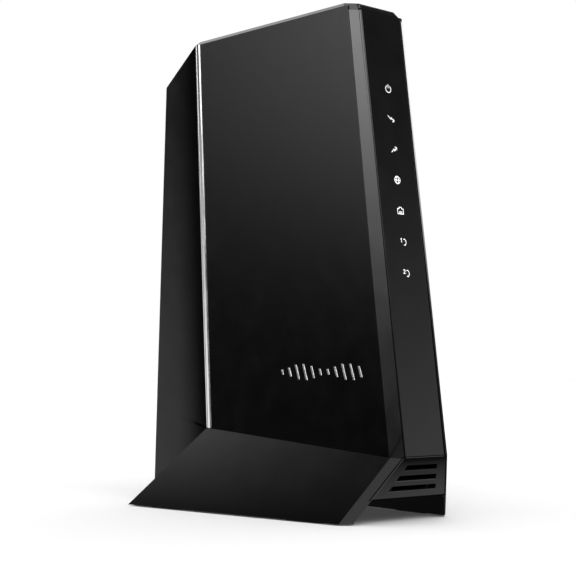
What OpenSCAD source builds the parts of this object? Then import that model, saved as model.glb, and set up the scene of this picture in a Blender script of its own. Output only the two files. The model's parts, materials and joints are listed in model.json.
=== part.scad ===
// Stand-up cable modem: a wedge-shaped tower on two splayed feet.
// Millimetres, +Z up, front towards -Y, origin on the floor below the middle of the modem.

/* [Tower] */
// Overall height
body_h = 245; // [238:0.5:252]
// Height of the front panel's lower edge
front_z = 29.8; // [28:0.2:32]
// How far the top of the front leans back
front_lean = 27.6; // [24:0.2:32]
// Half width between the side shells at the front panel's lower edge
front_half = 13.9; // [13.4:0.1:15]
// Half width between the side shells at the top of the front
front_half_top = 13.6; // [13.2:0.1:14.6]
// Width of the bevel beside the front panel
bevel_w = 5.3; // [4.8:0.1:5.8]
// Depth of that bevel
bevel_d = 4.0; // [3.6:0.1:4.4]
// Sideways growth of the side panel per millimetre of depth
side_flare = 0.062; // [0.055:0.001:0.07]
// Depth of the side panel's rear edge at the top
ridge_top_y = 141.5; // [138:0.5:144]
// Depth of the side panel's rear edge where it meets the foot
ridge_foot_y = 128.2; // [126:0.2:131]
// Height of that meeting point
ridge_foot_z = 40.7; // [39:0.1:43]
// Half width of the rear edge at the top
rear_half = 25.2; // [24.4:0.1:25.6]
// Depth of the rear edge at the top
rear_top_y = 167.6; // [166.5:0.1:169]
// Height of the rear edge's top corner
rear_top_z = 224.8; // [220:0.2:226]
// Depth of the rear edge at the underside
rear_foot_y = 174.4; // [173.5:0.1:175.5]
// Height of the underside between the feet
underside_z = 11.4; // [10.6:0.2:12]
// Depth of the front undercut at the underside
undercut_y = 10.2; // [9.4:0.2:11]
// Height of the two bevels round the top edges
top_bevel = 1.8; // [1.6:0.1:2.2]

/* [Feet] */
// Half width over the feet at the front
foot_front_x = 36.1; // [35:0.1:37]
// Depth of the front ends of the feet on the floor
foot_front_y = 20.8; // [20:0.1:22]
// Depth of the rear tips of the feet on the floor
foot_tip_y = 164.7; // [162:0.1:167]
// Height of the plastic above the floor, on its rubber pads
pad_lift = 0.5; // [0.3:0.1:0.8]

/* [Shells] */
// Wall thickness of the side shells
wall = 2.6; // [2.5:0.1:2.8]
// Thickness of the front panel, the grilles and the covers between the shells
cover_t = 2.2; // [2:0.1:2.4]
// Groove beside the front panel at its lower end
seam_low = 1.0; // [0.8:0.1:1.3]
// Groove beside the front panel at its upper end
seam_top = 0.35; // [0.3:0.05:0.6]
// Thickness of the decorative side panels
panel_t = 1.2; // [1:0.1:1.3]
// Width of the bright accent strips
strip_w = 3.7; // [3:0.1:4.2]

/* [Sockets] */
// Height of the reset button
reset_z = 152; // [150:1:156]
// Height of the upper telephone jack
phone_z = 131; // [130:1:133]
// Height of the Ethernet jack
ethernet_z = 92; // [91:1:94]
// Height of the coaxial connector
coax_z = 59; // [58:1:61]
// Height of the power inlet
power_z = 33; // [32:1:34]
// Length of the coaxial thread outside the rear panel
coax_out = 8; // [7.5:0.1:8]

/* [Hidden] */

$fn = 48;
gap = 0.15;
eps = 0.01;
reach = 600;
black = "#1c1c1e";
charcoal = "#3a3a3c";
silver = "#c8c8cc";
tin = "#b9bbbd";
gold = "#d4af37";
board_green = "#1f5b3a";

// A plane is [outward unit normal, distance from the origin].
function plane_through(a, b, c, outward) =
    let (n = cross(b - a, c - a), u = n / norm(n), s = sign(u * outward))
    [s * u, s * (u * a)];
function inset(p, t) = [p[0], p[1] - t];
function below(z) = [[0, 0, 1], z];
function above(z) = [[0, 0, -1], -z];
function x_on(p, y, z) = (p[1] - p[0].y * y - p[0].z * z) / p[0].x;
function meet(p, q, r) =
    (p[1] * cross(q[0], r[0]) + q[1] * cross(r[0], p[0]) + r[1] * cross(p[0], q[0]))
    / (p[0] * cross(q[0], r[0]));
// A flat that takes u off face p and v off face q where they meet.
function flat_between(p, q, u, v) =
    let (n = p[0] / u + q[0] / v)
    [n / norm(n), (p[1] / u + q[1] / v - 1) / norm(n)];

// Corner points of the right-hand half, and the faces through them.
out_x = [1, 0, 0];
out_front = [0, -1, 0];
out_rear = [0, 1, 0];
front_low = [front_half, 0, front_z];
face_h = body_h - top_bevel;
front_top = [front_half_top, front_lean, face_h];
bevel_low = front_low + [bevel_w, bevel_d, 0.5];
bevel_top = front_top + [0.92 * bevel_w, 0.78 * bevel_d, 0];
p_front = plane_through(front_low, front_top, [0, 0, front_z], out_front);
p_bevel = plane_through(front_low, front_top, bevel_low, out_front);
p_side = plane_through(bevel_low, bevel_top, bevel_low + [side_flare, 1, 0], out_x);
ridge_top = [x_on(p_side, ridge_top_y, face_h), ridge_top_y, face_h];
ridge_foot = [x_on(p_side, ridge_foot_y, ridge_foot_z), ridge_foot_y, ridge_foot_z];
rear_top = [rear_half, rear_top_y, rear_top_z];
p_rear_side = plane_through(ridge_top, ridge_foot, rear_top, out_x);
p_rear = plane_through(rear_top, [0, rear_top_y, rear_top_z], [0, rear_foot_y, underside_z], out_rear);
p_slope = plane_through([0, ridge_top_y, face_h], ridge_top, rear_top, out_rear);
p_undercut = plane_through(front_low, [0, 0, front_z], [0, undercut_y, underside_z], out_front);
foot_front = [foot_front_x, foot_front_y, 0];
p_skirt = plane_through(bevel_low, ridge_foot, foot_front, out_x);
foot_tip = [x_on(p_skirt, foot_tip_y, 0), foot_tip_y, 0];
p_foot_bevel = plane_through(front_low, bevel_low, foot_front, out_front);
foot_inner = meet(p_foot_bevel, p_undercut, above(0));
p_foot_inner = [p_skirt[0], p_skirt[0] * foot_inner];
p_foot_rear = plane_through(ridge_foot, foot_tip, [0, foot_tip_y, 0], out_rear);
p_top = below(body_h);
front_faces = [p_front, p_bevel, p_undercut, p_foot_bevel];
top_flats = [
    flat_between(p_side, p_top, 0.7 * top_bevel, top_bevel),
    flat_between(p_bevel, p_top, 1.7 * top_bevel, 2.3 * top_bevel),
    flat_between(p_front, p_top, 1.3 * top_bevel, 2.3 * top_bevel)];
side_faces = concat([p_side, p_rear_side, p_slope, p_rear, p_top], top_flats);

// Edges of the pieces let into the shells, square to the faces they lie in.
p_bezel_side = plane_through(front_low, front_top, front_low + p_front[0], out_x);
p_bezel_edge = plane_through(front_low - [seam_low, 0, 0], front_top - [seam_top, 0, 0],
    front_low - [seam_low, 0, 0] + p_front[0], out_x);
p_vent_edge = plane_through(front_low, foot_inner, front_low + p_undercut[0], out_x);
p_panel_front = plane_through(bevel_low, bevel_top, bevel_low + p_side[0], out_front);
p_panel_low = plane_through(bevel_low, ridge_foot, bevel_low + p_side[0], [0, 0, -1]);
p_ridge = plane_through(ridge_top, ridge_foot, ridge_top + p_side[0], out_rear);

// Where things are inside, and how large.
mid_y = rear_foot_y / 2;
collar_t = 1;
back_y = rear_foot_y - coax_out - collar_t;
back_in = back_y - cover_t;
ledge = 4.4;
channel_half = 11;
bottom_half = 17;
board_x = -6.5;
board_t = 1.6;
board_y = [46, back_in - 0.4];
board_z = [24, 206];
icon_s = 175.6;
icon_pitch = 14.95;
icon_r = 2.6;
icon_count = 7;
lean = atan(front_lean / (face_h - front_z));
undercut_angle = atan(undercut_y / (front_z - underside_z));
case_screws_yz = [[24, 62], [46, 226], [130, 224], [84, 54]];
board_screws_yz = [[52, 30], [52, 198], [142, 198], [128, 30]];
sink_screws_yz = [[70, 110], [70, 184], [132, 110], [132, 184]];
rear_screws_xz = [[19.5, 212], [19.5, 22]];
boss_r = 3.6;
coax_x = -0.5;
coax_r = 4.76;
jack_out = back_y;
power_x = -1;
reset_x = -2.5;

module placed() {
    translate([0, -mid_y, 0]) children();
}

module both_sides() {
    children();
    mirror([1, 0, 0]) children();
}

module half_space(p) {
    rotate([0, acos(p[0].z), atan2(p[0].y, p[0].x)])
        translate([-reach / 2, -reach / 2, p[1] - reach]) cube(reach);
}

module within(planes) {
    intersection_for (p = planes) half_space(p);
}

// What lies between the planes, in front of the plane it is cut back to.
module layer(planes, back) {
    difference() {
        within(planes);
        half_space(back);
    }
}

module block(a, b) {
    translate(a) cube(b - a);
}

module rod_x(yz, r, x0, x1) {
    translate([x0, yz[0], yz[1]]) rotate([0, 90, 0]) cylinder(r = r, h = x1 - x0);
}

module rod_y(x, z, r, y0, y1) {
    translate([x, y0, z]) rotate([-90, 0, 0]) cylinder(r = r, h = y1 - y0);
}

// Local frame of the front panel: z runs up it, y goes into the modem.
module on_front() {
    translate([0, 0, front_z]) rotate([-lean, 0, 0]) children();
}

// Local frame of the front vent: z runs down it, y goes into the modem.
module on_undercut() {
    translate([0, 0, front_z]) rotate([180 + undercut_angle, 0, 0]) mirror([0, 1, 0]) children();
}

// ---- side shells

module foot() {
    difference() {
        within(concat(front_faces, [p_skirt, p_foot_rear, below(ridge_foot_z + 2), above(pad_lift)]));
        within([p_foot_inner, below(underside_z)]);
    }
}

module shell_hollow() {
    front_walls = [inset(p_front, ledge), inset(p_bevel, wall), inset(p_undercut, ledge),
        inset(p_foot_bevel, wall), above(underside_z + ledge)];
    difference() {
        within(concat(front_walls, [inset(p_side, wall), inset(p_rear_side, wall),
            inset(p_slope, ledge), below(body_h - ledge)]));
        difference() {
            block([0, back_in - 3.2, 0], [60, back_in - gap, body_h]);
            within([inset(p_side, wall + 2.2), inset(p_rear_side, wall + 2.2)]);
        }
    }
    within(concat(front_walls, [inset(p_skirt, wall), inset(p_foot_rear, wall), below(ridge_foot_z)]));
}

module cover_recesses() {
    block([-reach, -reach, -reach], [channel_half, reach, reach]);
    layer([p_bezel_side, above(front_z)], inset(p_front, cover_t + gap));
    layer([p_vent_edge, below(front_z), above(underside_z - 2)], inset(p_undercut, cover_t + gap));
    block([0, 5, underside_z - 5], [bottom_half, 200, underside_z + cover_t + gap]);
    difference() {
        within([inset(p_side, 5), inset(p_rear_side, 5), inset(p_front, cover_t + gap)]);
        within([inset(p_top, cover_t + gap), inset(p_slope, cover_t + gap)]);
    }
    within([inset(p_side, 8), inset(p_rear_side, 8), inset(p_front, 10), inset(p_rear, 10),
        above(body_h - 40)]);
}

module panel_pocket() {
    layer([inset(p_side, -5), inset(p_panel_front, 0.2), inset(p_panel_low, 0.1), p_ridge,
        below(face_h)], inset(p_side, panel_t + 0.05));
}

module shell_blank() {
    difference() {
        union() {
            within(concat(front_faces, side_faces, [above(underside_z)]));
            foot();
        }
        shell_hollow();
        cover_recesses();
        panel_pocket();
    }
}

module shell_bosses() {
    for (q = case_screws_yz) rod_x(q, boss_r, 0.1, x_on(p_side, q[0], q[1]) - 2);
    for (q = rear_screws_xz) {
        rod_y(q[0], q[1], 3, back_in - 11, back_in);
        block([q[0], back_in - 11, q[1] - 1.5],
            [x_on(p_rear_side, back_in, q[1]) - 1, back_in - gap, q[1] + 1.5]);
    }
}

side_run = (foot_tip.x - foot_front.x) / (foot_tip.y - foot_front.y);

module pad_places() {
    for (y = [foot_front_y + 22, foot_tip_y - 28])
        translate([x_on(p_skirt, y, 0) - 2.8, y, 0]) rotate([0, 0, -atan(side_run)]) children();
}

module shell(driven) {
    difference() {
        union() {
            shell_blank();
            shell_bosses();
        }
        for (q = case_screws_yz) rod_x(q, driven ? 1.8 : 1.6, 0, driven ? 40 : 12);
        if (driven) for (q = case_screws_yz) rod_x(q, 3.1, x_on(p_side, q[0], q[1]) - 5, 40);
        for (q = rear_screws_xz) rod_y(q[0], q[1], 1.3, back_in - 8, back_in + 1);
        pad_places() translate([-1.3, -11, 0]) cube([2.6, 22, 1.6]);
    }
}

module right_shell() {
    color(black) placed() shell(false);
}

module left_shell() {
    color(black) placed() mirror([1, 0, 0]) shell(true);
}

module side_panel() {
    layer([p_side, inset(p_panel_front, 0.3), inset(p_panel_low, 0.2), inset(p_ridge, strip_w + 0.05),
        below(face_h - 0.1)], inset(p_side, panel_t));
}

module badge_bars(grow) {
    bars = 11;
    for (i = [0:bars - 1]) {
        tall = 2.4 + 2.7 * (1 + sin(i * 62)) + grow;
        half = 0.6 + grow;
        slant = tall / 6;
        translate([22 + i * 5.1, 69]) polygon([[-half - slant, -tall / 2], [half - slant, -tall / 2],
            [half + slant, tall / 2], [slant - half, tall / 2]]);
    }
}

// The badge's bars as a solid that crosses the side panel's outer skin.
module badge_solid(grow) {
    intersection() {
        translate([40, 0, 0]) rotate([90, 0, -90]) translate([0, 0, -10]) mirror([1, 0, 0])
            linear_extrude(60) badge_bars(grow);
        layer([inset(p_side, -0.1)], inset(p_side, 0.4));
    }
}

module right_side_panel() {
    color(charcoal) placed() side_panel();
}

module left_side_panel() {
    color(charcoal) placed() mirror([1, 0, 0]) difference() {
        side_panel();
        badge_solid(0);
    }
}

module side_badge() {
    color(silver) placed() mirror([1, 0, 0]) badge_solid(0);
}

module accent_strip() {
    difference() {
        layer([p_side, inset(p_ridge, 0.05), inset(p_panel_low, 0.2), below(face_h - 0.1)],
            inset(p_side, panel_t));
        half_space(inset(p_ridge, strip_w));
    }
}

module right_accent_strip() {
    color(silver) placed() accent_strip();
}

module left_accent_strip() {
    color(silver) placed() mirror([1, 0, 0]) accent_strip();
}

// ---- covers between the shells

module half_bezel() {
    layer(concat([p_front, p_bezel_edge, above(front_z + 0.1), p_top], top_flats), inset(p_front, cover_t));
}

module front_bezel() {
    color(black) placed() difference() {
        union() {
            intersection() {
                both_planes_bezel();
                block([-30, -10, 0], [30, 60, body_h]);
            }
            both_sides() on_front() block([9.4, cover_t - eps, 6], [10.6, 6, 196]);
        }
        on_front() for (i = [0:icon_count - 1])
            translate([0, -1, icon_s - i * icon_pitch]) rotate([-90, 0, 0]) cylinder(r = icon_r, h = 6);
    }
}

module both_planes_bezel() {
    intersection() {
        half_bezel();
        mirror([1, 0, 0]) half_bezel();
    }
}

module indicator_icons() {
    color("white") placed() on_front() for (i = [0:icon_count - 1])
        translate([0, 0, icon_s - i * icon_pitch]) rotate([-90, 0, 0]) cylinder(r = icon_r, h = cover_t);
}

// A slot of the front vent whose slanted ends follow the vent's side edges.
module vent_slot(s) {
    slant = (foot_inner.x - front_half) / norm(foot_inner - front_low);
    half = front_half - 6.6 + slant * s;
    translate([0, 10, 0]) rotate([90, 0, 0]) linear_extrude(20)
        polygon([[-half, s - 1.25], [half, s - 1.25],
            [half + slant * 2.5, s + 1.25], [-half - slant * 2.5, s + 1.25]]);
}

module front_vent_grille() {
    color(black) placed() difference() {
        intersection() {
            layer([p_undercut, inset(p_vent_edge, gap), below(front_z - 0.1), above(underside_z)],
                inset(p_undercut, cover_t));
            mirror([1, 0, 0]) half_space(inset(p_vent_edge, gap));
        }
        on_undercut() for (s = [5.1, 10.6, 16.1]) vent_slot(s);
    }
}

module top_grille() {
    edges = concat([inset(p_side, 5 + gap), inset(p_rear_side, 5 + gap)], top_flats);
    color(black) placed() difference() {
        intersection() {
            within(concat(edges, [inset(p_front, cover_t + 2 * gap), p_top, p_slope, p_rear,
                above(rear_top_z - 20)]));
            mirror([1, 0, 0]) within(edges);
        }
        within([inset(p_top, cover_t), inset(p_slope, cover_t)]);
        for (i = [0:17]) {
            y = 40 + i * 5.4;
            half = x_on(p_side, y, body_h) - 9;
            block([-half, y, body_h - 5], [half, y + 2.4, body_h + 1]);
        }
        for (i = [0:2]) {
            y = 146 + i * 5.4;
            block([-14, y, body_h - 30], [14, y + 2.4, body_h]);
        }
    }
}

module rear_panel() {
    sides = [inset(p_rear_side, wall + gap), inset(p_side, wall + gap)];
    color(black) placed() difference() {
        intersection() {
            union() {
                within([inset(p_slope, ledge + gap), above(underside_z + ledge + gap)]);
                intersection() {
                    within([inset(p_slope, cover_t + gap), above(underside_z + cover_t + gap)]);
                    block([-channel_half + gap, 0, 0], [channel_half - gap, 200, body_h]);
                }
            }
            within(sides);
            mirror([1, 0, 0]) within(sides);
            block([-60, back_in, 0], [60, back_y, body_h]);
        }
        rod_y(coax_x, coax_z, coax_r + 0.5, back_in - 1, back_y + 1);
        rod_y(power_x, power_z, 3.4, back_in - 1, back_y + 1);
        rod_y(reset_x, reset_z, 1.8, back_in - 1, back_y + 1);
        block([board_x - gap, back_in - 1, ethernet_z - 8.5 - gap],
            [7.2 + gap, back_y + 1, ethernet_z + 8.5 + gap]);
        block([board_x - gap, back_in - 1, phone_z - 21 - gap], [5.5 + gap, back_y + 1, phone_z + 7 + gap]);
        both_sides() for (q = rear_screws_xz) rod_y(q[0], q[1], 1.7, back_in - 1, back_y + 1);
    }
}

module bottom_cover() {
    color(black) placed() difference() {
        intersection() {
            block([-bottom_half + gap, 0, underside_z], [bottom_half - gap, 200, underside_z + cover_t]);
            within([inset(p_undercut, cover_t + 2 * gap), p_rear]);
        }
        for (i = [0:17]) block([-9, 30 + i * 6.6, underside_z - 1], [9, 33 + i * 6.6, underside_z + 5]);
    }
}

module rubber_feet() {
    color("#2a2a2a") placed() both_sides() pad_places() translate([-1.3, -11, 0]) cube([2.6, 22, 1.6]);
}

// ---- boards and what is on them

module main_board() {
    color(board_green) placed() difference() {
        block([board_x - board_t, board_y[0], board_z[0]], [board_x, board_y[1], board_z[1]]);
        for (q = board_screws_yz) rod_x(q, 1.7, board_x - 3, board_x + 1);
        for (q = sink_screws_yz) rod_x(q, 1.6, board_x - 3, board_x + 1);
        rod_x(case_screws_yz[3], boss_r + 0.5, board_x - 3, board_x + 1);
    }
}

// Posts between the left shell's wall and the board.
module board_standoffs() {
    color("#c9a227") placed() mirror([1, 0, 0]) difference() {
        intersection() {
            for (q = board_screws_yz) rod_x(q, 3, -board_x + board_t, 60);
            shell_hollow();
        }
        for (q = board_screws_yz) rod_x(q, 1.5, 0, -board_x + board_t + 6);
    }
}

// A package of the given height standing on the board.
module package(y, z, w, h, t) {
    block([board_x, y - w / 2, z - h / 2], [board_x + t, y + w / 2, z + h / 2]);
}

module main_processor() {
    color("#303236") placed() package(100, 146, 27, 27, 2);
}

module memory_chips() {
    color("#26282b") placed() for (z = [130, 146, 162]) package(76, z, 10, 12, 1.1);
}

module flash_chip() {
    color("#26282b") placed() package(124, 164, 8, 6, 1.1);
}

module thermal_pads() {
    color("#9fb4c6") placed() {
        block([board_x + 2, 87, 133], [board_x + 2.8, 113, 159]);
        block([board_x - board_t - 1.9, 84, 128], [board_x - board_t, 116, 164]);
    }
}

module finned_heat_sink() {
    base_x = board_x + 2.8;
    color("#8d9094") placed() difference() {
        union() {
            block([base_x, 64, 104], [base_x + 3, 138, 190]);
            for (i = [0:11]) block([base_x + 3 - eps, 64 + i * 6.6, 104], [14, 65.4 + i * 6.6, 190]);
            for (q = sink_screws_yz) rod_x(q, 3, board_x, base_x + eps);
        }
        for (q = sink_screws_yz) rod_x(q, 1.25, board_x - 1, board_x + 4.5);
    }
}

module heat_spreader_plate() {
    plate_x = board_x - board_t - 1.9;
    color(tin) placed() difference() {
        block([plate_x - 1.2, 60, 62], [plate_x, 150, 190]);
        for (q = sink_screws_yz) rod_x(q, 1.6, plate_x - 3, plate_x + 1);
    }
}

module heat_sink_screws() {
    head_x = board_x - board_t - 3.1;
    color(tin) placed() for (q = sink_screws_yz) {
        rod_x(q, 2.4, head_x - 1.6, head_x);
        rod_x(q, 1.25, head_x - eps, board_x + 4);
    }
}

module tuner_shield_frame() {
    color(tin) placed() difference() {
        block([board_x, 106, 42], [board_x + 5, 146, 78]);
        block([board_x - 1, 106.6, 42.6], [board_x + 6, 145.4, 77.4]);
    }
}

module tuner_shield_lid() {
    color(tin) placed() difference() {
        block([board_x + 5, 106, 42], [board_x + 5.5, 146, 78]);
        for (y = [112:7:140]) for (z = [48:8:72]) rod_x([y, z], 1.2, board_x + 4, board_x + 7);
    }
}

module electrolytic_capacitors() {
    color("#33353c") placed() for (q = [[112, 32], [101, 32], [90, 32], [60, 60]])
        rod_x(q, 4, board_x, board_x + 11.5);
}

module power_inductors() {
    color("#54565a") placed() for (q = [[76, 34], [65, 34], [60, 76]]) package(q[0], q[1], 7, 7, 4);
}

module line_transformers() {
    color("#2b2d30") placed() {
        package(134, 92, 9, 16, 5.5);
        package(118, 92, 9, 12, 4);
    }
}

// ---- sockets on the rear panel

module coax_connector_shell() {
    color(silver) placed() difference() {
        union() {
            block([board_x, back_in - 15, coax_z - 6], [coax_x + 6, back_in - gap, coax_z + 6]);
            rod_y(coax_x, coax_z, coax_r + 0.3, back_in - 1, back_y + eps);
            rod_y(coax_x, coax_z, coax_r + 1.2, back_y, back_y + collar_t);
            rod_y(coax_x, coax_z, coax_r, back_y + collar_t - eps, rear_foot_y);
        }
        rod_y(coax_x, coax_z, 3.9, back_in - 12, rear_foot_y + 1);
    }
}

module coax_insulator() {
    color("ivory") placed() difference() {
        rod_y(coax_x, coax_z, 3.9, back_in - 12, rear_foot_y - 1.2);
        rod_y(coax_x, coax_z, 0.9, back_in - 13, rear_foot_y);
    }
}

module coax_contact() {
    color(gold) placed() difference() {
        rod_y(coax_x, coax_z, 0.9, back_in - 12, rear_foot_y - 2);
        rod_y(coax_x, coax_z, 0.5, back_in - 8, rear_foot_y);
    }
}

module ethernet_jack_shell() {
    color(tin) placed() difference() {
        block([board_x, jack_out - 21.5, ethernet_z - 8.5], [7.2, jack_out, ethernet_z + 8.5]);
        block([board_x + 0.3, jack_out - 21.2, ethernet_z - 8.2], [6.9, jack_out + 1, ethernet_z + 8.2]);
    }
}

// A plug cavity with its latch notch on the side away from the board.
module plug_cavity(z, wide, tall, deep, x0) {
    block([x0, jack_out - deep, z - wide / 2], [x0 + tall, jack_out + 1, z + wide / 2]);
    block([x0 + tall - eps, jack_out - deep, z - wide / 4], [x0 + tall + 2.2, jack_out + 1, z + wide / 4]);
}

module ethernet_jack_housing() {
    color("#222326") placed() difference() {
        block([board_x + 0.3, jack_out - 21.2, ethernet_z - 8.2], [6.9, jack_out - 0.3, ethernet_z + 8.2]);
        plug_cavity(ethernet_z, 11.8, 7.4, 14, board_x + 2);
    }
}

// Sprung contact wires: a foot in the cavity floor and a blade that slants out of it.
module jack_contacts(z, count, pitch, x0, deep) {
    for (i = [0:count - 1])
        translate([x0, jack_out - deep, z + (i - (count - 1) / 2) * pitch - 0.2])
            linear_extrude(0.4) polygon([[0, 3], [0, 2.5], [1.6, 0], [2.1, 0.3]]);
}

module ethernet_contacts() {
    color(gold) placed() jack_contacts(ethernet_z, 8, 1.02, board_x + 2, 13);
}

module phone_jack_housing() {
    color("#222326") placed() difference() {
        block([board_x, jack_out - 18, phone_z - 21], [5.5, jack_out, phone_z + 7]);
        for (z = [phone_z, phone_z - 14]) plug_cavity(z, 9.9, 7, 13, board_x + 1.6);
    }
}

module phone_contacts() {
    color(gold) placed() for (z = [phone_z, phone_z - 14]) jack_contacts(z, 4, 1.02, board_x + 1.6, 12);
}

module power_inlet_housing() {
    color("#222326") placed() difference() {
        union() {
            block([board_x, back_in - 12, power_z - 4.6], [power_x + 4.6, back_in - gap, power_z + 4.6]);
            rod_y(power_x, power_z, 3.3, back_in - 1, back_y - 0.2);
        }
        rod_y(power_x, power_z, 2.8, back_in - 7.5, back_y + 1);
    }
}

module power_inlet_pin() {
    color(tin) placed() rod_y(power_x, power_z, 1.05, back_in - 7.5, back_y - 1.6);
}

// ---- recessed reset button

module reset_button() {
    color("#2f3032") placed() {
        rod_y(reset_x, reset_z, 1.5, back_in - 1.3 - eps, back_y - 1);
        rod_y(reset_x, reset_z, 2.2, back_in - 2.3, back_in - 1.3);
        rod_y(reset_x, reset_z, 1.2, back_in - 5.6, back_in - 2.3 + eps);
    }
}

module reset_switch() {
    color("#3b3d40") placed() difference() {
        block([board_x, back_in - 8.6, reset_z - 3], [reset_x + 3, back_in - 3.8, reset_z + 3]);
        rod_y(reset_x, reset_z, 1.25, back_in - 7.6, back_in);
    }
}

// ---- indicator unit behind the front panel

guide_deep = 8;

module indicator_board() {
    color(board_green) placed() on_front()
        block([-10.5, guide_deep + 1.1, 78], [10.5, guide_deep + 2.3, 186]);
}

module indicator_leds() {
    color("#f2f0dc") placed() on_front() for (i = [0:icon_count - 1])
        translate([-1.6, guide_deep, icon_s - i * icon_pitch - 0.8]) cube([3.2, 1.1, 1.6]);
}

module light_guide() {
    color("#e6eef2") placed() on_front() {
        for (i = [0:icon_count - 1]) translate([0, cover_t + 0.1, icon_s - i * icon_pitch])
            rotate([-90, 0, 0]) cylinder(r = 2.4, h = guide_deep - cover_t - 0.4);
        block([-3.5, 4, icon_s - (icon_count - 1) * icon_pitch - 5], [3.5, 5.2, icon_s + 5]);
    }
}

// The cable runs back from the indicator board and turns along the main board.
cable_w = 10;
cable_z = 116;

module ribbon_cable() {
    color("#d9d9d2") placed() translate([0, 0, cable_z]) linear_extrude(cable_w)
        polygon([[2, 25.5], [2, 36], [-2.6, 43], [-2.6, 50],
            [-3, 50], [-3, 42.8], [1.6, 35.8], [1.6, 25.5]]);
}

module ribbon_sockets() {
    color("#efe9d8") placed() {
        block([board_x, 50, cable_z - 2], [-1.4, 55, cable_z + cable_w + 2]);
        block([-0.2, 23, cable_z - 1], [3.8, 25.5, cable_z + cable_w + 1]);
    }
}

// ---- screws

module board_screws() {
    color(tin) placed() for (q = board_screws_yz) {
        rod_x(q, 2.8, board_x, board_x + 1.6);
        rod_x(q, 1.45, board_x - board_t - 5.5, board_x + eps);
    }
}

module case_screws() {
    color(tin) placed() for (q = case_screws_yz) {
        head_x = 5 - x_on(p_side, q[0], q[1]);
        rod_x(q, 3, head_x - 2, head_x);
        rod_x(q, 1.6, head_x - eps, 11.5);
    }
}

module rear_panel_screws() {
    color(tin) placed() both_sides() for (q = rear_screws_xz) {
        rod_y(q[0], q[1], 2.8, back_y, back_y + 1.5);
        rod_y(q[0], q[1], 1.25, back_in - 7.5, back_y + eps);
    }
}

left_shell();
right_shell();
left_side_panel();
right_side_panel();
left_accent_strip();
right_accent_strip();
side_badge();
front_bezel();
indicator_icons();
front_vent_grille();
top_grille();
rear_panel();
bottom_cover();
rubber_feet();
main_board();
board_standoffs();
main_processor();
memory_chips();
flash_chip();
thermal_pads();
finned_heat_sink();
heat_spreader_plate();
heat_sink_screws();
tuner_shield_frame();
tuner_shield_lid();
electrolytic_capacitors();
power_inductors();
line_transformers();
coax_connector_shell();
coax_insulator();
coax_contact();
ethernet_jack_shell();
ethernet_jack_housing();
ethernet_contacts();
phone_jack_housing();
phone_contacts();
power_inlet_housing();
power_inlet_pin();
reset_button();
reset_switch();
indicator_board();
indicator_leds();
light_guide();
ribbon_cable();
ribbon_sockets();
board_screws();
case_screws();
rear_panel_screws();
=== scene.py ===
"""A stand-up cable modem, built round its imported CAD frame."""
import json
import math

import bmesh
import bpy
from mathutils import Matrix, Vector


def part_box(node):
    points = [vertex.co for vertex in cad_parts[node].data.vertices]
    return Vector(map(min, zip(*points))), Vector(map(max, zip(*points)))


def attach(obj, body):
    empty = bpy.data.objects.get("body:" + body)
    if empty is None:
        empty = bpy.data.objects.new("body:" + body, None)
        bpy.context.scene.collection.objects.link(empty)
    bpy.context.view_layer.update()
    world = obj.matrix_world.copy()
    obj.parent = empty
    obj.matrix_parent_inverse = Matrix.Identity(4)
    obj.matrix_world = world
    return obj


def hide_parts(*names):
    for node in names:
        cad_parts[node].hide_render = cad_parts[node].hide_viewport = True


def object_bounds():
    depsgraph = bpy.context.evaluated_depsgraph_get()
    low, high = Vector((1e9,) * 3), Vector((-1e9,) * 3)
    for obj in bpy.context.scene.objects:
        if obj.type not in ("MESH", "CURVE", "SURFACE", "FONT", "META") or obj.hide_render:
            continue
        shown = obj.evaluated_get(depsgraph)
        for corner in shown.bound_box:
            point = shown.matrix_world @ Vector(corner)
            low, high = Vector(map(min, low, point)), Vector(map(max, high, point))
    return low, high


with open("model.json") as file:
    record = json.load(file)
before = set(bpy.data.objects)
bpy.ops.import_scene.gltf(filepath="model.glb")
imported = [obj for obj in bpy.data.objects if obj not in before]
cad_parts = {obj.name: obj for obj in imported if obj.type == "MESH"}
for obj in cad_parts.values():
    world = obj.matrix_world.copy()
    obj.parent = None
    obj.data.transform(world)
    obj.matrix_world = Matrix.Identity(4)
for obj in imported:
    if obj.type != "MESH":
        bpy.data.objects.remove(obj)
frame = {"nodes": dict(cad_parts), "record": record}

MM = 0.001
BODY = "modem"
WHITE = (1, 1, 1, 1)
CAD_BOX = [list(c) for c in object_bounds()]
NODES = frame["nodes"]


# ---- materials

PLAIN_GLOSS = 0.5
STRIP_LEAN = 0.066
# Where the rear wall's painted gloss starts, where its painted shade is darkest, and where its painted
# reflection is brightest.
WALL_START_Y, WALL_PAINTED_SHADE_Y, WALL_PAINTED_SHEEN_Y = 38 * MM, 40 * MM, 65.5 * MM


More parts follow.
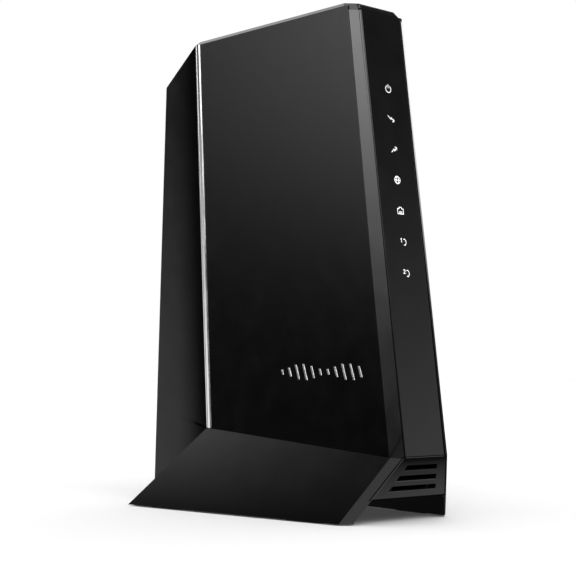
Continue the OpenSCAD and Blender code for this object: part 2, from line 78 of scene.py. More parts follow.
class Nodes:
    """Short ways to add and join shader nodes in one material."""

    def __init__(self, name):
        self.material = bpy.data.materials.new(name)
        self.material.use_nodes = True
        self.tree = self.material.node_tree
        self.shader = self.tree.nodes["Principled BSDF"]
        self.place = self.add("ShaderNodeTexCoord").outputs["Object"]

    def add(self, kind, **settings):
        node = self.tree.nodes.new(kind)
        for key, value in settings.items():
            setattr(node, key, value)
        return node

    def join(self, source, target):
        self.tree.links.new(source, target)

    def noise(self, scale, detail=3.0, roughness=0.55, stretch=None):
        """Noise with features about 1/scale metres across, stretched along an axis if asked."""
        node = self.add("ShaderNodeTexNoise")
        node.inputs["Scale"].default_value = scale
        node.inputs["Detail"].default_value = detail
        node.inputs["Roughness"].default_value = roughness
        place = self.place
        if stretch:
            mapping = self.add("ShaderNodeMapping")
            mapping.inputs["Scale"].default_value = stretch
            self.join(place, mapping.inputs["Vector"])
            place = mapping.outputs["Vector"]
        self.join(place, node.inputs["Vector"])
        return node.outputs["Fac"]

    def cells(self, scale):
        node = self.add("ShaderNodeTexVoronoi")
        node.inputs["Scale"].default_value = scale
        self.join(self.place, node.inputs["Vector"])
        return node.outputs["Distance"]

    def spread(self, value, low, high):
        """value, which lies about 0.3 to 0.7, mapped to low to high."""
        node = self.add("ShaderNodeMapRange")
        node.inputs["From Min"].default_value = 0.3
        node.inputs["From Max"].default_value = 0.7
        node.inputs["To Min"].default_value = low
        node.inputs["To Max"].default_value = high
        self.join(value, node.inputs["Value"])
        return node.outputs["Result"]

    def tint(self, value, dark, light):
        """A colour between dark and light that follows value."""
        node = self.add("ShaderNodeValToRGB")
        node.color_ramp.elements[0].position = 0.3
        node.color_ramp.elements[1].position = 0.7
        node.color_ramp.elements[0].color = (*dark, 1)
        node.color_ramp.elements[1].color = (*light, 1)
        self.join(value, node.inputs["Fac"])
        return node.outputs["Color"]

    def bump(self, height, strength, distance):
        node = self.add("ShaderNodeBump")
        node.inputs["Strength"].default_value = strength
        node.inputs["Distance"].default_value = distance
        self.join(height, node.inputs["Height"])
        previous = self.shader.inputs["Normal"]
        if previous.is_linked:
            self.join(previous.links[0].from_socket, node.inputs["Normal"])
        self.join(node.outputs["Normal"], self.shader.inputs["Normal"])


def grey(value, warmth=0.0):
    return (value * (1 + warmth), value, value * (1 - warmth))


def plastic(*settings):
    return plastic_nodes(*settings).material


def plastic_nodes(name, dark, light, rough, grain, grain_size, specular=PLAIN_GLOSS):
    """Moulded plastic: a fine spark-eroded grain, faint clouds of colour and gloss, and small pits."""
    n = Nodes(name)
    clouds = n.noise(28, 4)
    fine = n.noise(1 / grain_size, 2, 0.6)
    n.join(n.tint(clouds, dark, light), n.shader.inputs["Base Color"])
    n.join(n.spread(n.noise(90, 5), rough - 0.025, rough + 0.025), n.shader.inputs["Roughness"])
    n.shader.inputs["Specular IOR Level"].default_value = specular
    n.bump(fine, grain, 0.00012)
    n.bump(n.cells(0.6 / grain_size), grain * 0.5, 0.00008)
    return n


def maths(n, operation, *values):
    node = n.add("ShaderNodeMath", operation=operation)
    for socket, value in zip(node.inputs, values):
        if isinstance(value, bpy.types.NodeSocket):
            n.join(value, socket)
        else:
            socket.default_value = value
    return node.outputs[0]


def ramp(n, value, start, stop, low, high, soft=False):
    """low where value is start, high where it is stop, and even or soft steps between."""
    node = n.add("ShaderNodeMapRange")
    node.interpolation_type = "SMOOTHSTEP" if soft else "LINEAR"
    n.join(value, node.inputs["Value"])
    for key, number in (("From Min", start), ("From Max", stop), ("To Min", low), ("To Max", high)):
        node.inputs[key].default_value = number
    return node.outputs["Result"]


def place_of(n):
    """The distance from the middle plane, and the place along y and z."""
    split = n.add("ShaderNodeSeparateXYZ")
    n.join(n.place, split.inputs[0])
    return maths(n, "ABSOLUTE", split.outputs["X"]), split.outputs["Y"], split.outputs["Z"]


def on_plane(n, place, plane):
    """1 on a plane of the right-hand shell or its mirror image, 0 elsewhere."""
    normal, level = plane
    reached = maths(n, "MULTIPLY", place[0], normal.x)
    for axis, part in zip(place[1:], normal[1:]):
        reached = maths(n, "MULTIPLY_ADD", axis, part, reached)
    return maths(n, "COMPARE", reached, level, 0.3 * MM)


def shell_plastic_painted_sheen(name, wall, skirt):
    """Black plastic with painted shade and painted reflection in its gloss: on the rear wall the gloss is
    painted dim next to the accent strip and bright towards the rear edge, and on the skirt it is painted
    dim towards the bottom and stronger towards the rear.
    """
    n = plastic_nodes(name, grey(0.0016), grey(0.0022), 0.21, 0.05, 0.0005)
    place = place_of(n)
    # How far back a point lies, measured along the accent strip, which leans back as it rises.
    behind = maths(n, "MULTIPLY_ADD", place[2], -STRIP_LEAN, place[1])
    # Painted shade next to the strip and painted reflection towards the rear edge of the wall.
    wall_painted_sheen = ramp(n, behind, WALL_PAINTED_SHADE_Y, WALL_PAINTED_SHEEN_Y, 0.02, 0.66, True)
    # Painted shade on the skirt: low gloss at the bottom, rising with height and stronger towards the
    # rear.
    rising = ramp(n, place[2], 2 * MM, 36 * MM, 0.04, 0.28)
    skirt_painted_sheen = maths(n, "MULTIPLY", rising, ramp(n, place[1], -60 * MM, 65 * MM, 0.72, 1.4))
    walled = maths(n, "MULTIPLY", on_plane(n, place, wall), maths(n, "GREATER_THAN", behind, WALL_START_Y))
    gloss = maths(n, "MULTIPLY_ADD", walled, maths(n, "SUBTRACT", wall_painted_sheen, PLAIN_GLOSS), PLAIN_GLOSS)
    change = maths(n, "SUBTRACT", skirt_painted_sheen, PLAIN_GLOSS)
    gloss = maths(n, "MULTIPLY_ADD", on_plane(n, place, skirt), change, gloss)
    n.join(gloss, n.shader.inputs["Specular IOR Level"])
    return n.material


def vent_plastic_painted_sheen(name):
    """The grille's plastic, with a painted reflection: its gloss is painted stronger towards its lower
    edge.
    """
    n = plastic_nodes(name, grey(0.0016), grey(0.0024), 0.24, 0.05, 0.0005)
    # Painted reflection: gloss low at the top of the grille, high near its lower edge.
    gloss = ramp(n, place_of(n)[2], 29 * MM, 12 * MM, 0.04, 1.35)
    n.join(gloss, n.shader.inputs["Specular IOR Level"])
    return n.material


def metal(name, dark, light, rough, brush=None, bump=0.08):
    """Metal with a brushed, turned or stamped finish: streaks along the long axis of brush."""
    n = Nodes(name)
    streaks = n.noise(900, 3, 0.6, brush or (1, 1, 1))
    n.join(n.tint(streaks, dark, light), n.shader.inputs["Base Color"])
    n.shader.inputs["Metallic"].default_value = 1.0
    n.join(n.spread(streaks, rough - 0.06, rough + 0.08), n.shader.inputs["Roughness"])
    n.bump(streaks, bump, 0.00005)
    return n.material


def glowing(name, colour, strength):
    """Translucent white plastic lit from behind, a little uneven."""
    n = Nodes(name)
    n.join(n.tint(n.noise(700, 2), tuple(0.8 * c for c in colour), colour), n.shader.inputs["Base Color"])
    n.shader.inputs["Roughness"].default_value = 0.35
    n.shader.inputs["Emission Color"].default_value = (*colour, 1)
    n.shader.inputs["Emission Strength"].default_value = strength
    n.bump(n.noise(1500, 2), 0.05, 0.00003)
    return n.material


def circuit(name):
    """Solder mask with a mesh of copper tracks and small bright pads."""
    n = Nodes(name)
    tracks = n.add("ShaderNodeTexBrick")
    tracks.inputs["Scale"].default_value = 160
    tracks.inputs["Color1"].default_value = (0.008, 0.075, 0.03, 1)
    tracks.inputs["Color2"].default_value = (0.01, 0.095, 0.04, 1)
    tracks.inputs["Mortar"].default_value = (0.03, 0.17, 0.07, 1)
    tracks.inputs["Mortar Size"].default_value = 0.06
    swap = n.add("ShaderNodeMapping")
    swap.inputs["Rotation"].default_value = (0, math.pi / 2, 0)
    n.join(n.place, swap.inputs["Vector"])
    n.join(swap.outputs["Vector"], tracks.inputs["Vector"])
    n.join(tracks.outputs["Color"], n.shader.inputs["Base Color"])
    n.join(n.spread(n.noise(300), 0.25, 0.4), n.shader.inputs["Roughness"])
    n.bump(tracks.outputs["Fac"], 0.2, 0.00004)
    return n.material


def clear(name, colour, rough):
    n = Nodes(name)
    n.join(n.tint(n.noise(120), tuple(0.9 * c for c in colour), colour), n.shader.inputs["Base Color"])
    n.shader.inputs["Transmission Weight"].default_value = 0.9
    n.join(n.spread(n.noise(400), rough, rough + 0.1), n.shader.inputs["Roughness"])
    return n.material


def shell_plane(outward, rear_of):
    """The largest face of the right shell that looks this way, as its normal and distance."""
    outward = Vector(outward).normalized()
    found = {}
    for face in NODES["right_shell"].data.polygons:
        if face.normal.dot(outward) > 0.93 and face.center.y > rear_of:
            key = tuple(round(c, 3) for c in face.normal)
            found[key] = max(found.get(key, (0, None)), (face.area, face.index))
    face = NODES["right_shell"].data.polygons[max(found.values())[1]]
    return face.normal.copy(), face.normal.dot(face.center)


ALONG_Z = (1, 1, 0.02)
ALONG_Y = (1, 0.02, 1)
SHELL_WALL = shell_plane((1, 0.2, 0), 45 * MM)
SHELL_SKIRT = shell_plane((1, 0, 0.5), CAD_BOX[0][1])
# plastic: name, dark, light, roughness, strength and size of the grain, gloss.
# metal: name, dark, light, roughness, direction of the streaks, their depth.
MATERIALS = {
    "shell": shell_plastic_painted_sheen("shell_plastic_painted_sheen", SHELL_WALL, SHELL_SKIRT),
    "side_panel": plastic("side_panel_grain", grey(0.0004), grey(0.0009), 0.17, 0.3, 0.0006, 0.46),
    "accent_strip": metal("accent_metal", grey(0.62), grey(0.72, -0.01), 0.2, ALONG_Z, 0.03),
    "badge": metal("badge_metal", grey(0.6), grey(0.8), 0.3, ALONG_Y),
    "front_panel": plastic("front_panel_satin", grey(0.003), grey(0.004), 0.2, 0.03, 0.0004),
    "icon_lens": glowing("icon_light", (0.9, 0.93, 0.96), 0.75),
    "vent": vent_plastic_painted_sheen("vent_plastic_painted_sheen"),
    "rear_plate": plastic("rear_plastic", grey(0.004), grey(0.007), 0.40, 0.15, 0.0006),
    "rubber_pad": plastic("foot_rubber", grey(0.012), grey(0.02), 0.75, 0.25, 0.0005, 0.3),
    # This near-black, barely reflective finish also paints the shade in the seams round the front panel
    # and grille.
    "gasket": plastic("gasket_black_and_seam_shade", grey(0.0004), grey(0.0008), 0.8, 0.1, 0.0005, 0.05),
    "circuit_board": circuit("board_green"),
    "chip": plastic("chip_epoxy", grey(0.012), grey(0.02), 0.55, 0.15, 0.0003),
    "thermal_pad": plastic("pad_silicone", (0.2, 0.27, 0.33), (0.26, 0.34, 0.4), 0.7, 0.2, 0.0005),
    "heat_sink": metal("sink_aluminium", grey(0.5), grey(0.62), 0.4, ALONG_Z),
    "steel_screw": metal("screw_zinc", grey(0.42), grey(0.55, -0.02), 0.32),
    "tin_shield": metal("shield_tin", grey(0.55), grey(0.68), 0.34, ALONG_Y),
    "capacitor": plastic("capacitor_sleeve", (0.008, 0.01, 0.02), (0.012, 0.015, 0.03), 0.3, 0.03, 0.0006),
    "plated_brass": metal("nickel_plate", grey(0.5), grey(0.66, 0.03), 0.22),
    "insulator": plastic("insulator_white", grey(0.6, 0.04), grey(0.7, 0.04), 0.45, 0.1, 0.0006),
    "gold_contact": metal("gold_flash", (0.75, 0.5, 0.16), (0.9, 0.64, 0.24), 0.25),
    "socket_plastic": plastic("socket_black", grey(0.006), grey(0.01), 0.38, 0.08, 0.0004),
    "brass_post": metal("turned_brass", (0.62, 0.44, 0.18), (0.74, 0.55, 0.25), 0.3),
    "steel_pin": metal("pin_nickel", grey(0.5), grey(0.62), 0.25),
    "button": plastic("button_grey", grey(0.03), grey(0.04), 0.45, 0.1, 0.0003),
    "led": plastic("led_epoxy", (0.6, 0.55, 0.35), (0.75, 0.7, 0.45), 0.3, 0.05, 0.0004),
    "light_guide": clear("guide_clear", (0.93, 0.96, 1.0), 0.08),
    "ribbon": plastic("ribbon_sheath", grey(0.5), grey(0.62), 0.4, 0.1, 0.0006),
}
SLOT_OF = {row["node"]: row["material_slot"] for row in frame["record"]["subparts"]}


# ---- geometry read from the frame

class Flat:
    """The largest flat face of a CAD node that looks roughly one way, with its own axes.

    u runs level along the face, v runs up it and n points out of it; sizes are in metres.
    """

    def __init__(self, node, outward):
        mesh = NODES[node].data
        outward = Vector(outward).normalized()
        areas, largest = {}, {}
        for face in mesh.polygons:
            if face.normal.dot(outward) > 0.6:
                key = tuple(round(c, 2) for c in face.normal) + (round(face.center.dot(face.normal), 3),)
                areas[key] = areas.get(key, 0) + face.area
                if key not in largest or face.area > largest[key].area:
                    largest[key] = face
        face = largest[max(areas, key=areas.get)]
        self.n = face.normal.copy()
        self.level = face.center.dot(self.n)
        up = Vector((0, 0, 1)) if abs(self.n.z) < 0.9 else Vector((0, 1, 0))
        self.u = up.cross(self.n).normalized()
        self.v = self.n.cross(self.u).normalized()
        on_face = [v.co for v in mesh.vertices if abs(v.co.dot(self.n) - self.level) < 2e-4]
        self.points = [(p.dot(self.u), p.dot(self.v)) for p in on_face]
        heights = [v for u, v in self.points]
        self.middle = (min(heights) + max(heights)) / 2

    def at(self, u, v, out=0.0):
        return self.u * u + self.v * v + self.n * (self.level + out)

    def place(self, point):
        """A point's (u, v) on this face."""
        return point.dot(self.u), point.dot(self.v)

    def outline(self):
        """The corners of the face's outer edge, anticlockwise."""
        points = sorted(set((round(u, 6), round(v, 6)) for u, v in self.points))
        return half_hull(points) + half_hull(reversed(points))


def turn(a, b, c):
    """Positive where the way from a over b to c turns anticlockwise."""
    return (b[0] - a[0]) * (c[1] - a[1]) - (b[1] - a[1]) * (c[0] - a[0])


def half_hull(points):
    """The corners of one half of the outline round points that are sorted along it."""
    kept = []
    for p in points:
        while len(kept) > 1 and turn(kept[-2], kept[-1], p) <= 1e-9:
            kept.pop()
        kept.append(p)
    return kept[:-1]


def islands(node):
    """The low and high corner of each separate solid of a CAD node, from the highest down."""
    mesh = bmesh.new()
    mesh.from_mesh(NODES[node].data)
    bmesh.ops.remove_doubles(mesh, verts=mesh.verts, dist=1e-6)
    seen, boxes = set(), []
    for start in mesh.verts:
        if start in seen:
            continue
        group, stack = [], [start]
        seen.add(start)
        while stack:
            vert = stack.pop()
            group.append(vert.co.copy())
            for edge in vert.link_edges:
                other = edge.other_vert(vert)
                if other not in seen:
                    seen.add(other)
                    stack.append(other)
        boxes.append((Vector(map(min, *group)), Vector(map(max, *group))))
    mesh.free()
    return sorted(boxes, key=lambda box: -box[1].z)


# ---- pieces

def finish_piece(name, mesh, material, body=BODY, bevel=0.0, segments=2, smooth_angle=32):
    """Turns a bmesh into a piece of the model: material, edge rounding and shading."""
    mesh.normal_update()
    data = bpy.data.meshes.new(name)
    for edge in mesh.edges:
        if len(edge.link_faces) == 2:
            edge.smooth = edge.calc_face_angle(0) < math.radians(smooth_angle)
    for face in mesh.faces:
        face.smooth = True
    mesh.to_mesh(data)
    mesh.free()
    piece = bpy.data.objects.new(name, data)
    bpy.context.scene.collection.objects.link(piece)
    data.materials.append(MATERIALS[material])
    if bevel:
        rounding = piece.modifiers.new("edge_rounding", "BEVEL")
        rounding.width = bevel
        rounding.segments = segments
        rounding.limit_method = "ANGLE"
        rounding.angle_limit = math.radians(20)
        rounding.harden_normals = True
        rounding.use_clamp_overlap = True
    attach(piece, body)
    return piece


def cleaned(node):
    """A CAD node's shape as a clean bmesh, with its triangles joined into flat faces."""
    mesh = bmesh.new()
    mesh.from_mesh(NODES[node].data)
    bmesh.ops.remove_doubles(mesh, verts=mesh.verts, dist=2e-6)
    bmesh.ops.dissolve_limit(mesh, angle_limit=math.radians(0.6), verts=mesh.verts, edges=mesh.edges)
    return mesh


def refined(node, bevel, body=BODY, smooth_angle=9):
    """A piece with the CAD node's own shape and softened edges, which stands for it."""
    piece = finish_piece(node + "_skin", cleaned(node), SLOT_OF[node], body, bevel,
                         smooth_angle=smooth_angle)
    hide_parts(node)


# The sections that round off a rod's end: how far out, and how wide, for a half width of 1.
ROUND_END = [(0.7, 0.72), (0.95, 0.3)]


def sweep(mesh, points, half_width, half_height, normal, closed=False, sides=8):
    """Adds a rod of oval section along flat points: half_height is measured along normal."""
    count = len(points)
    rings = []
    for i, point in enumerate(points):
        before = points[(i - 1) % count] if closed or i else point
        after = points[(i + 1) % count] if closed or i < count - 1 else point
        a = (point - before).normalized() if before != point else (after - point).normalized()
        b = (after - point).normalized() if after != point else a
        ahead = (a + b).normalized()
        side = ahead.cross(normal).normalized() / max(0.5, ahead.dot(a))
        scales = [(0, 1.0)]
        if not closed and i == 0:
            scales = [(-shift, scale) for shift, scale in ROUND_END[::-1]] + scales
        if not closed and i == count - 1:
            scales = scales + ROUND_END
        for shift, scale in scales:
            centre = point + ahead * shift * half_width
            rings.append([mesh.verts.new(centre + side * (math.cos(t) * half_width * scale)
                                         + normal * (math.sin(t) * half_height * scale))
                          for t in (2 * math.pi * k / sides for k in range(sides))])
    pairs = list(zip(rings, rings[1:])) + ([(rings[-1], rings[0])] if closed else [])
    for one, two in pairs:
        for k in range(sides):
            mesh.faces.new((one[k], one[(k + 1) % sides], two[(k + 1) % sides], two[k]))
    if not closed:
        mesh.faces.new(rings[0][::-1])
        mesh.faces.new(rings[-1])


def arc(radius, start, stop, steps=20, centre=(0, 0), squeeze=1.0):
    """Points of an arc in degrees, anticlockwise from +u; squeeze narrows it sideways."""
    angles = [math.radians(start + (stop - start) * i / steps) for i in range(steps + 1)]
    return [(centre[0] + radius * squeeze * math.cos(a), centre[1] + radius * math.sin(a))
            for a in angles]


# ---- shells, panels and covers

FRONT = (0, -1, 0)
FRONT_PLATE_T = 2.3 * MM
# Thickness of the frames that paint the seams' shade.
SEAM_SHADE_T = 0.4 * MM

def make_shells():
    for side in ("left", "right"):
        refined(side + "_shell", 0.35 * MM)


def make_side_panels():
    for side in ("left", "right"):
        refined(side + "_side_panel", 0.25 * MM)
        make_accent_strip(side)
    refined("side_badge", 0.12 * MM)


# The strip's section from rear to front: share of its width, and millimetres out of its CAD face.
STRIP_SECTION = [(0.0, -1.4), (0.0, 0.08), (0.04, 0.14), (0.2, 0.28), (0.23, 0.28), (0.25, 0.2),
                 (0.27, 0.18), (0.86, 0.66), (0.9, 0.66), (1.0, 0.1), (1.0, -1.4)]


def make_accent_strip(side):
    """A bright trim: a thin rear line, a groove, and a wide facet that faces a little rearwards."""
    face = Flat(side + "_accent_strip", (-1 if side == "left" else 1, 0, 0))
    corners = face.outline()
    mesh = bmesh.new()
    rings = []
    for ends in ([c for c in corners if c[1] <= face.middle], [c for c in corners if c[1] > face.middle]):
        a, b = min(ends), max(ends)
        rear, front = (a, b) if face.at(*a).y > face.at(*b).y else (b, a)
        rings.append([mesh.verts.new(face.at(rear[0] + (front[0] - rear[0]) * t,
                                             rear[1] + (front[1] - rear[1]) * t, out * MM))
                      for t, out in STRIP_SECTION])
    for i in range(len(STRIP_SECTION)):
        j = (i + 1) % len(STRIP_SECTION)
        mesh.faces.new((rings[0][i], rings[0][j], rings[1][j], rings[1][i]))
    mesh.faces.new(rings[0])
    mesh.faces.new(rings[1])
    bmesh.ops.recalc_face_normals(mesh, faces=mesh.faces)
    piece = finish_piece(side + "_accent_strip_skin", mesh, "accent_strip", smooth_angle=10)
    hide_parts(side + "_accent_strip")


def make_front_panel():
    """The dark front panel without window openings: its symbols shine through."""
    face = Flat("front_bezel", FRONT)
    mesh = bmesh.new()
    corners = {tuple(round(c, 6) for c in v.co) for v in NODES["front_bezel"].data.vertices
               if face.level - v.co.dot(face.n) < FRONT_PLATE_T}
    for corner in corners:
        mesh.verts.new(corner)
    hull = bmesh.ops.convex_hull(mesh, input=mesh.verts)
    spare = {item for item in hull["geom_interior"] + hull["geom_unused"]
             if isinstance(item, bmesh.types.BMVert)}
    bmesh.ops.delete(mesh, geom=list(spare), context="VERTS")
    bmesh.ops.dissolve_limit(mesh, angle_limit=math.radians(0.6), verts=mesh.verts, edges=mesh.edges)
    piece = finish_piece("front_bezel_skin", mesh, "front_panel", bevel=0.35 * MM, segments=3,
                         smooth_angle=9)
    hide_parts("front_bezel")


def make_seam_shade():
    """Painted shade: near-black frames sunk in the gaps round the front panel and beside the lower grille,
    standing in for the shade in those gaps.
    """
    for node, outward, inner, outer, sunk in (("front_bezel", FRONT, -1.5, 1.1, 0.4),
                                              ("front_vent_grille", (0, -1, -0.6), -0.8, 0.9, 0.35)):
        face = Flat(node, outward)
        outline = face.outline()
        mesh = bmesh.new()
        frame_prism(mesh, face, widened(outline, inner * MM), widened(outline, outer * MM),
                    -sunk * MM, SEAM_SHADE_T)
        # The frames take the near-black gasket finish, which paints the gaps' shade.
        finish_piece(node + "_seam_shade", mesh, "rubber_pad").data.materials[0] = MATERIALS["gasket"]


def frame_prism(mesh, face, inner, outer, out, depth):
    """Adds a flat frame between two outlines with the same number of corners."""
    rings = [[mesh.verts.new(face.at(u, v, level)) for u, v in line]
             for line, level in ((outer, out), (outer, out - depth), (inner, out - depth), (inner, out))]
    for one, two in zip(rings, rings[1:] + rings[:1]):
        for i in range(len(one)):
            j = (i + 1) % len(one)
            mesh.faces.new((one[i], one[j], two[j], two[i]))
    bmesh.ops.recalc_face_normals(mesh, faces=mesh.faces)


def widened(corners, width):
    """An anticlockwise outline moved outwards by width."""
    moved = []
    for i, corner in enumerate(corners):
        before, after = corners[i - 1], corners[(i + 1) % len(corners)]
        one = Vector((corner[1] - before[1], before[0] - corner[0])).normalized()
        two = Vector((after[1] - corner[1], corner[0] - after[0])).normalized()
        out = (one + two).normalized()
        moved.append((corner[0] + out.x * width / max(0.4, out.dot(one)),
                      corner[1] + out.y * width / max(0.4, out.dot(one))))
    return moved


STROKE_HALF_W = 0.15 * MM
STROKE_RISE = 0.05 * MM


def glyph_strokes():
    """The seven symbols of the front panel, from the top, as strokes in millimetres."""
    power = [arc(1.75, 125, 415), [(0, 0.5), (0, 2.2)]]
    zigzag = [(-1.9, 1.5), (-0.2, -0.2), (0.15, 0.75), (1.7, -1.1)]
    down = [zigzag, [(0.6, -1.3), (1.7, -1.1), (1.7, 0.1)]]
    up = [[(x, -y) for x, y in line] for line in down]
    globe = [arc(1.8, 0, 360, 28), arc(1.8, 0, 360, 24, squeeze=0.42), [(-1.75, 0), (1.75, 0)]]
    socket = [(-1.9, -1.5), (-1.9, 1.0), (-0.8, 1.0), (-0.8, 1.7),
              (0.8, 1.7), (0.8, 1.0), (1.9, 1.0), (1.9, -1.5), (-1.9, -1.5)]
    port = [socket] + [[(x, -1.3), (x, -0.3)] for x in (-0.8, 0, 0.8)]
    handset = [arc(1.75, -62, 62, 10, centre=(-0.1, -0.1)),
               [(0.75, 1.45), (0.1, 1.15)], [(0.75, -1.65), (0.1, -1.35)]]
    one = [[(-1.9, 1.1), (-1.3, 1.6), (-1.3, -0.2)]]
    two = [arc(0.55, 160, -30, 8, centre=(-1.5, 1.05)) + [(-2.1, -0.2), (-0.9, -0.2)]]
    return [power, down, up, globe, port, handset + one, handset + two]


def make_icons():
    """The lit symbols, as rods that stand a little out of the front panel."""
    face = Flat("front_bezel", FRONT)
    mesh = bmesh.new()
    for (low, high), strokes in zip(islands("indicator_icons"), glyph_strokes()):
        u, v = face.place((low + high) / 2)
        for line in strokes:
            closed = math.dist(line[0], line[-1]) < 0.01
            points = [face.at(u + x * MM, v + y * MM) for x, y in (line[:-1] if closed else line)]
            sweep(mesh, points, STROKE_HALF_W, STROKE_RISE, face.n, closed)
    piece = finish_piece("indicator_glyphs", mesh, "icon_lens")
    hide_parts("indicator_icons")


def make_covers():
    for node in ("front_vent_grille", "top_grille", "rear_panel"):
        refined(node, 0.3 * MM)
    refined("bottom_cover", 0.25 * MM)
    refined("rubber_feet", 0.3 * MM)


THREAD_R = 4.72 * MM
THREAD_PITCH = 0.79 * MM
THREAD_TURNS, THREAD_STEPS = 8, 30


def make_coax_thread():
    """The fine thread on the cable connector, one ridge that winds along the barrel."""
    low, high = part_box("coax_connector_shell")
    middle = (low + high) / 2
    start = high.y - 7.4 * MM
    last = THREAD_TURNS * THREAD_STEPS
    mesh = bmesh.new()
    rows = []
    for i in range(last + 1):
        angle = 2 * math.pi * i / THREAD_STEPS
        along = start + THREAD_PITCH * i / THREAD_STEPS
        crest = 0.12 * min(1, i / THREAD_STEPS, (last - i) / THREAD_STEPS)
        row = []
        for out, shift in ((-0.15, -0.36), (crest, -0.06), (crest, 0.06), (-0.15, 0.36)):
            reach = THREAD_R + out * MM
            row.append(mesh.verts.new((middle.x + reach * math.cos(angle), along + shift * MM,
                                       middle.z + reach * math.sin(angle))))
        rows.append(row)
    for one, two in zip(rows, rows[1:]):
        for k in range(4):
            mesh.faces.new((one[k], one[(k + 1) % 4], two[(k + 1) % 4], two[k]))
    mesh.faces.new(rows[0])
    mesh.faces.new(rows[-1])
    bmesh.ops.recalc_face_normals(mesh, faces=mesh.faces)
    finish_piece("coax_thread_ridge", mesh, "plated_brass", smooth_angle=40)


DOME = 0.35 * MM
RECESS = 0.6 * MM
HEAD_RINGS, HEAD_SIDES = 14, 48


def head_height(x, z, radius):
    """How far a screw's head stands out at a place: a low dome with a cross cut into it."""
    r = math.hypot(x, z)
    arm = min(abs(x), abs(z)) < 0.17 * radius and r < 0.62 * radius
    return DOME * (1 - (r / radius) ** 2) - (RECESS if arm else 0)


def make_rear_screws():
    """Pan-head screws with a cross recess."""
    mesh = bmesh.new()
    for low, high in islands("rear_panel_screws"):
        middle = (low + high) / 2
        radius = (high.x - low.x) / 2

        def on_head(x, z):
            return mesh.verts.new((middle.x + x, high.y + head_height(x, z, radius), middle.z + z))

        centre = on_head(0, 0)
        rows = []
        for i in range(1, HEAD_RINGS + 1):
            r = radius * i / HEAD_RINGS
            rows.append([on_head(r * math.cos(a), r * math.sin(a))
                         for a in (2 * math.pi * k / HEAD_SIDES for k in range(HEAD_SIDES))])
        rows.append([mesh.verts.new((v.co.x, low.y, v.co.z)) for v in rows[-1]])
        for k in range(HEAD_SIDES):
            after = (k + 1) % HEAD_SIDES
            mesh.faces.new((centre, rows[0][k], rows[0][after]))
            for one, two in zip(rows, rows[1:]):
                mesh.faces.new((one[k], one[after], two[after], two[k]))
        mesh.faces.new(rows[-1])
    bmesh.ops.recalc_face_normals(mesh, faces=mesh.faces)
    piece = finish_piece("rear_panel_screws_skin", mesh, "steel_screw", smooth_angle=35)
    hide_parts("rear_panel_screws")


def make_sockets():
    for node in ("ethernet_jack_shell", "ethernet_jack_housing",
                 "phone_jack_housing", "power_inlet_housing"):
        refined(node, 0.12 * MM)
    for node in ("coax_connector_shell", "coax_insulator"):
        refined(node, 0.15 * MM, smooth_angle=25)
    refined("reset_button", 0.15 * MM, body="reset_plunger", smooth_angle=25)


def dress_inner_nodes():
    """Every CAD node that still shows its own shape gets its finish."""
    for name, node in NODES.items():
        node.data.materials.clear()
        node.data.materials.append(MATERIALS[SLOT_OF[name]])


# ---- the studio

AZIMUTH, ELEVATION = -41.14, -3.93
LENS = 84.33
DISTANCE = 674.05 * MM
AIM = Vector((0, -17.2 * MM, 111.1 * MM))
ASIDE = 16.66 * MM
FILL = 0.03


def towards(azimuth, elevation):
    """The way to a place in the studio, in degrees: azimuth 0 is in front, 90 on the right."""
    a, e = math.radians(azimuth), math.radians(elevation)
    return Vector((math.sin(a) * math.cos(e), -math.cos(a) * math.cos(e), math.sin(e)))


def make_camera():
    back = towards(AZIMUTH, ELEVATION)
    right = Vector((0, 0, 1)).cross(back).normalized()
    target = AIM - right * ASIDE
    data = bpy.data.cameras.new("camera")
    data.lens = LENS
    camera = bpy.data.objects.new("camera", data)
    camera.location = target + back * DISTANCE
    camera.rotation_mode = "QUATERNION"
    camera.rotation_quaternion = (-back).to_track_quat("-Z", "Y")
    bpy.context.scene.collection.objects.link(camera)
    bpy.context.scene.camera = camera


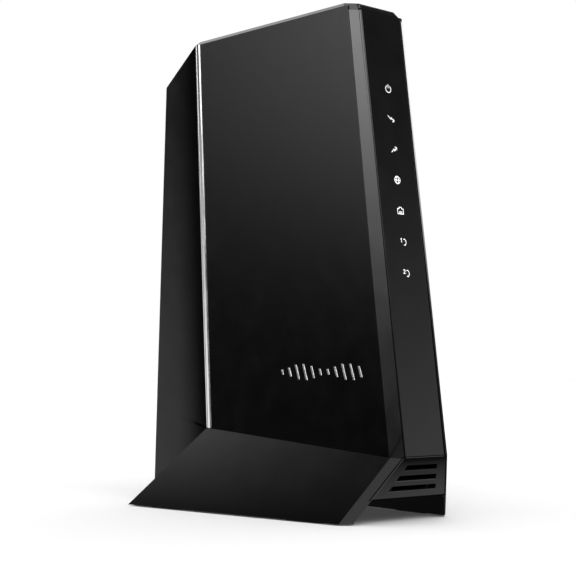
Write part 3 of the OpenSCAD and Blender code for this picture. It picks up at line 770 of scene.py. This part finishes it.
class Studio:
    """The light round the modem: soft glowing panels far away, each given by where it stands."""

    def __init__(self):
        world = bpy.data.worlds.new("studio")
        bpy.context.scene.world = world
        world.use_nodes = True
        self.tree = world.node_tree
        self.way = self.tree.nodes.new("ShaderNodeTexCoord").outputs["Generated"]
        split = self.tree.nodes.new("ShaderNodeSeparateXYZ")
        self.tree.links.new(self.way, split.inputs[0])
        self.height = self.maths("MULTIPLY", self.maths("ARCSINE", split.outputs["Z"]), 180 / math.pi)
        self.total = self.maths("ADD", FILL, 0.0)

    def maths(self, operation, *values):
        node = self.tree.nodes.new("ShaderNodeMath")
        node.operation = operation
        for i, value in enumerate(values):
            self.give(value, node.inputs[i])
        return node.outputs[0]

    def give(self, value, socket):
        if isinstance(value, bpy.types.NodeSocket):
            self.tree.links.new(value, socket)
        else:
            socket.default_value = value

    def along(self, axis):
        node = self.tree.nodes.new("ShaderNodeVectorMath")
        node.operation = "DOT_PRODUCT"
        self.give(self.way, node.inputs[0])
        self.give(axis, node.inputs[1])
        return node.outputs["Value"]

    def step(self, value, dark, bright):
        """0 where value is dark, 1 where it is bright, with a soft change between."""
        node = self.tree.nodes.new("ShaderNodeMapRange")
        node.interpolation_type = "SMOOTHSTEP"
        self.give(value, node.inputs["Value"])
        for key, number in (("From Min", dark), ("From Max", bright), ("To Min", 0.0), ("To Max", 1.0)):
            node.inputs[key].default_value = number
        return node.outputs["Result"]

    def panel(self, azimuth, half_width, edge, low, low_edge, high, high_edge, level):
        """A panel between two elevations in degrees; its light fades to nothing over its edges."""
        ahead = towards(azimuth, 0)
        across = Vector((0, 0, 1)).cross(ahead)
        turned = self.maths("ARCTAN2", self.along(across), self.along(ahead))
        turned = self.maths("MULTIPLY", self.maths("ABSOLUTE", turned), 180 / math.pi)
        glow = self.maths("MULTIPLY", self.step(self.height, low, low + low_edge),
                          self.step(self.height, high, high - high_edge))
        glow = self.maths("MULTIPLY", glow, self.step(turned, half_width + edge, half_width))
        self.total = self.maths("ADD", self.total, self.maths("MULTIPLY", glow, level))

    def finish(self):
        """The camera sees plain white behind the modem; everything else sees the panels."""
        lit = self.tree.nodes["Background"]
        self.give(self.total, lit.inputs["Strength"])
        white = self.tree.nodes.new("ShaderNodeBackground")
        white.inputs["Color"].default_value = WHITE
        path = self.tree.nodes.new("ShaderNodeLightPath")
        mix = self.tree.nodes.new("ShaderNodeMixShader")
        self.give(path.outputs["Is Camera Ray"], mix.inputs[0])
        self.give(lit.outputs[0], mix.inputs[1])
        self.give(white.outputs[0], mix.inputs[2])
        self.give(mix.outputs[0], self.tree.nodes["World Output"].inputs["Surface"])
        bpy.context.scene.view_settings.view_transform = "Standard"


def make_lights():
    studio = Studio()
    studio.tree.nodes["Background"].inputs["Color"].default_value = WHITE
    studio.panel(-104, 12, 29, 3.5, 14.5, 36, 12, 2.85)    # left
    studio.panel(-28, 25, 20, 13, 22, 62, 15, 8.9)         # front left, high
    studio.panel(55, 25, 20, -30, 20, 22.5, 24, 0.84)      # front right, low
    studio.panel(0, 60, 30, -50, 30, -2, 12, 1.0)          # the pale table in front
    studio.panel(-166, 9, 17, -30, 20, 15, 17, 1.25)       # rear left, low
    studio.panel(-170, 15, 20, 22, 8, 62, 12, 2.3)         # rear, high
    studio.panel(142, 18, 20, 24, 6, 44, 10, 2.0)          # rear right, high
    studio.panel(104, 12, 29, 3.5, 14.5, 36, 12, 2.85)     # right
    studio.panel(150, 12, 16, -30, 20, 24, 22, 0.9)        # rear right, low
    studio.panel(0, 180, 10, 52, 16, 100, 2, 1.6)          # overhead
    studio.finish()


def make_floor():
    """Pale paper under a broad light of its own. It shows the modem's shadow, and sheds no light on it."""
    mesh = bmesh.new()
    bmesh.ops.create_circle(mesh, cap_ends=True, radius=60, segments=64)
    data = bpy.data.meshes.new("floor")
    mesh.to_mesh(data)
    mesh.free()
    floor = bpy.data.objects.new("floor", data)
    floor.location.z = -0.2 * MM
    bpy.context.scene.collection.objects.link(floor)
    n = Nodes("floor_paper")
    n.join(n.tint(n.noise(3), grey(0.365), grey(0.375)), n.shader.inputs["Base Color"])
    n.shader.inputs["Roughness"].default_value = 0.6
    n.shader.inputs["Specular IOR Level"].default_value = 0.0
    n.shader.inputs["Emission Color"].default_value = WHITE
    n.shader.inputs["Emission Strength"].default_value = 0.05
    data.materials.append(n.material)
    floor.visible_glossy = False
    floor.visible_diffuse = False
    floor.visible_shadow = False
    sun = bpy.data.objects.new("overhead", bpy.data.lights.new("overhead", "SUN"))
    sun.data.angle = math.radians(120)
    sun.data.energy = 3.4
    bpy.context.scene.collection.objects.link(sun)
    lit = bpy.data.collections.new("floor_only")
    lit.objects.link(floor)
    sun.light_linking.receiver_collection = lit


make_camera()
make_shells()
make_side_panels()
make_front_panel()
make_icons()
make_seam_shade()
make_covers()
make_sockets()
make_coax_thread()
make_rear_screws()
dress_inner_nodes()
make_floor()
make_lights()
